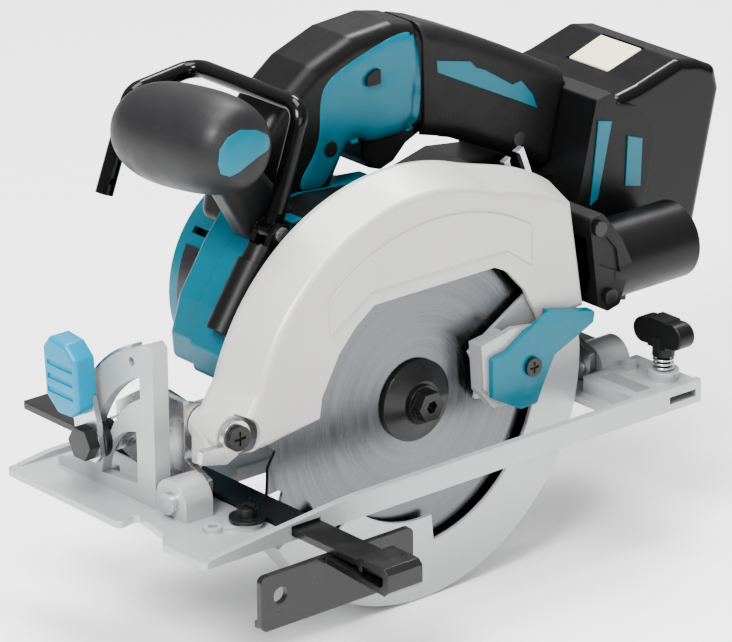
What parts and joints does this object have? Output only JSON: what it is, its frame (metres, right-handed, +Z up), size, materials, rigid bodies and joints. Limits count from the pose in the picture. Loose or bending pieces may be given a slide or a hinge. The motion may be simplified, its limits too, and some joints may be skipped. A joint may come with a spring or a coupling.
{
  "type": "cordless circular saw",
  "caption": "Battery circular saw with a tilting, plunging head on a ribbed base plate: geared motor, toothed blade, sprung lower guard, rip fence, dust nozzle and folding hook.",
  "frame": {"origin": "on the underside of the base plate, midway across it, straight below the blade arbor", "axes": "+X to the rear, along the cut and the saw's length; +Y to the motor side; +Z up"},
  "size_m": [0.3485, 0.2465, 0.2353],
  "materials": {
    "cast_grey": "satin",
    "case_grey": "satin",
    "guard_grey": "satin",
    "blade_steel": "brushed",
    "steel": "satin",
    "black_steel": "satin",
    "black_plastic": "textured",
    "gloss_black": "gloss",
    "rubber": "matt",
    "teal": "fine texture",
    "cyan": "satin",
    "dark_grey": "textured",
    "cream": "satin",
    "copper": "satin",
    "lens": "clear",
    "plate": "satin",
    "cell": "satin"
  },
  "bodies": {
    "base": {"base_plate": "cast_grey", "bevel_quadrant": "cast_grey", "bevel_scale": "steel", "quadrant_screws": "black_steel", "pivot_pins": "steel", "wing_spring": "steel"},
    "fence": {"rip_fence": "black_steel"},
    "clamp_screw": {"fence_clamp_screw": "black_steel"},
    "wing": {"wing_screw": "black_plastic"},
    "tilt_frame": {"front_bracket": "steel", "rear_depth_guide": "steel", "bevel_lock_bolt": "black_steel"},
    "bevel_lever": {"bevel_lever_arm": "steel", "bevel_lever_grip": "cyan"},
    "saw": {"blade_case": "case_grey", "gear_housing": "black_plastic", "motor_housing": "teal", "handle_shell_near": "black_plastic", "handle_shell_far": "black_plastic", "handle_grip": "rubber", "handle_inlays": "teal", "front_knob": "dark_grey", "knob_cap": "teal", "hook_sleeve": "black_plastic", "hook_pin": "steel", "dust_nozzle": "black_plastic", "stator_core": "steel", "stator_coils": "copper", "ball_bearings": "steel", "trigger_pin": "steel", "trigger_switch": "black_plastic", "controller": "dark_grey", "terminal_block": "black_plastic", "led_lens": "lens", "name_plate": "plate", "housing_screws": "black_steel", "depth_pivot_pin": "black_steel"},
    "spindle_body": {"spindle": "steel", "drive_gear": "steel", "inner_flange": "black_steel", "outer_flange": "black_steel", "blade": "blade_steel", "blade_bolt": "black_steel"},
    "idler": {"idler_gear": "steel"},
    "rotor": {"rotor_shaft": "steel", "rotor_core": "steel", "cooling_fan": "black_plastic"},
    "guard": {"lower_guard": "guard_grey", "guard_lever": "teal", "guard_lever_screw": "black_steel"},
    "trigger_body": {"trigger": "black_plastic"},
    "lock_off": {"lock_off_lever": "black_plastic"},
    "shaft_lock_body": {"shaft_lock": "black_plastic"},
    "hook_body": {"hook": "gloss_black"},
    "battery": {"battery_case": "gloss_black", "battery_cells": "cell"},
    "battery_release": {"battery_button": "cream"},
    "depth_lock": {"depth_lever": "black_plastic"},
    "stop": {"stop_lever": "steel"}
  },
  "joints": [
    {"name": "fence_slide", "type": "slide", "parent": "base", "child": "fence", "axis": [0, 1, 0], "range_m": [-0.05, 0.014]},
    {"name": "fence_clamp_turn", "type": "hinge", "parent": "base", "child": "clamp_screw", "pos_m": [-0.1032, -0.047, 0.006], "axis": [0, 0, 1], "continuous": true},
    {"name": "wing_screw_turn", "type": "hinge", "parent": "base", "child": "wing", "pos_m": [0.1223, -0.0535, 0.02], "axis": [0, 0, 1], "continuous": true},
    {"name": "bevel_tilt", "type": "hinge", "parent": "base", "child": "tilt_frame", "pos_m": [0, -0.0206, 0.0096], "axis": [1, 0, 0], "range_deg": [0, 19]},
    {"name": "bevel_lever_turn", "type": "hinge", "parent": "tilt_frame", "child": "bevel_lever", "pos_m": [-0.1265, 0.02566, 0.02418], "axis": [1, 0, 0], "range_deg": [0, 50]},
    {"name": "depth_plunge", "type": "hinge", "parent": "tilt_frame", "child": "saw", "pos_m": [-0.0985, 0, 0.0365], "axis": [0, -1, 0], "range_deg": [0, 29]},
    {"name": "blade_spin", "type": "hinge", "parent": "saw", "child": "spindle_body", "pos_m": [0, -0.03, 0.0255], "axis": [0, 1, 0], "continuous": true},
    {"name": "idler_spin", "type": "hinge", "parent": "saw", "child": "idler", "pos_m": [0.00791, 0, 0.04255], "axis": [0, 1, 0], "continuous": true},
    {"name": "rotor_spin", "type": "hinge", "parent": "saw", "child": "rotor", "pos_m": [0, 0.04, 0.056], "axis": [0, 1, 0], "continuous": true},
    {"name": "guard_swing", "type": "hinge", "parent": "saw", "child": "guard", "pos_m": [0, -0.02, 0.0255], "axis": [0, -1, 0], "range_deg": [0, 105], "stiffness_Nm_per_rad": 0.35, "springref_deg": -34.38},
    {"name": "trigger_pull", "type": "hinge", "parent": "saw", "child": "trigger_body", "pos_m": [0.0275, 0.036, 0.1235], "axis": [0, -1, 0], "range_deg": [0, 6], "stiffness_Nm_per_rad": 1.5, "springref_deg": -2.86},
    {"name": "lock_off_slide", "type": "slide", "parent": "saw", "child": "lock_off", "axis": [1, 0, 0], "range_m": [0, 0.004], "stiffness_N_per_m": 300, "springref_m": -0.002},
    {"name": "shaft_lock_push", "type": "slide", "parent": "saw", "child": "shaft_lock_body", "axis": [1, 0, 0], "range_m": [0, 0.001], "stiffness_N_per_m": 900, "springref_m": -0.001},
    {"name": "hook_fold", "type": "hinge", "parent": "saw", "child": "hook_body", "pos_m": [-0.0542, -0.005, 0.107], "axis": [0, -1, 0], "range_deg": [0, 10]},
    {"name": "battery_slide", "type": "slide", "parent": "saw", "child": "battery", "axis": [0.2334, 0, 0.9724], "range_m": [0, 0.12]},
    {"name": "battery_release_push", "type": "slide", "parent": "battery", "child": "battery_release", "axis": [0.3063, 0, -0.9519], "range_m": [0, 0.002], "stiffness_N_per_m": 900, "springref_m": -0.001},
    {"name": "depth_lock_turn", "type": "hinge", "parent": "saw", "child": "depth_lock", "pos_m": [0.09008, 0, 0.01334], "axis": [0, -1, 0], "range_deg": [0, 30]},
    {"name": "stop_lever_turn", "type": "hinge", "parent": "saw", "child": "stop", "pos_m": [-0.0985, -0.033, 0.0365], "axis": [0, 1, 0], "range_deg": [0, 20]}
  ],
  "couplings": [
    {"joint": "idler_spin", "follows": "blade_spin", "ratio": -2.1333},
    {"joint": "rotor_spin", "follows": "blade_spin", "ratio": 6.1867}
  ]
}
